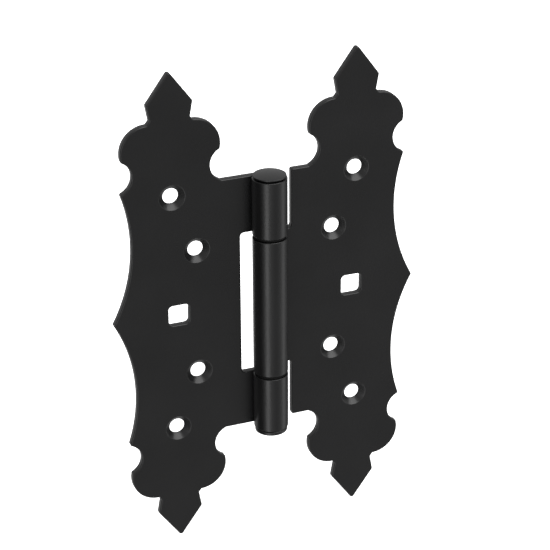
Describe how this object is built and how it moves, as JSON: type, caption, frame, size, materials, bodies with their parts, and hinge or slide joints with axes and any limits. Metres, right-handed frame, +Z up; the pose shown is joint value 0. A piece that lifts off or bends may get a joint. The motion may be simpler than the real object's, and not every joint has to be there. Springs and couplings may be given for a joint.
{
  "type": "ornamental gate hinge",
  "caption": "Spear-ended surface-mounted gate hinge with rolled knuckles on a headed pin, countersunk screw holes and a square bolt hole in each leaf.",
  "frame": {"origin": "on the pin axis at mid-height, which is the centre of the bounding box with the hinge flat open", "axes": "+Z up along the pin; +X from the pin towards the door leaf; -Y towards the countersunk front face and +Y towards the back faces that lie on the post and the door"},
  "size_m": [0.125, 0.0138, 0.1986],
  "materials": {
    "powder_coat": "semi-gloss black powder coat with a fine orange-peel texture on steel sheet",
    "pin_coat": "semi-gloss black powder coat on a solid steel pin",
    "washer_nylon": "matt black nylon"
  },
  "bodies": {
    "frame_side": {"frame_leaf": "powder_coat", "hinge_pin": "pin_coat", "washer_upper": "washer_nylon", "washer_lower": "washer_nylon"},
    "door_side": {"door_leaf": "powder_coat"}
  },
  "joints": [
    {"name": "leaf_swing", "type": "hinge", "parent": "frame_side", "child": "door_side", "pos_m": [0, 0, 0], "axis": [0, 0, 1], "range_deg": [-186, 113]}
  ]
}
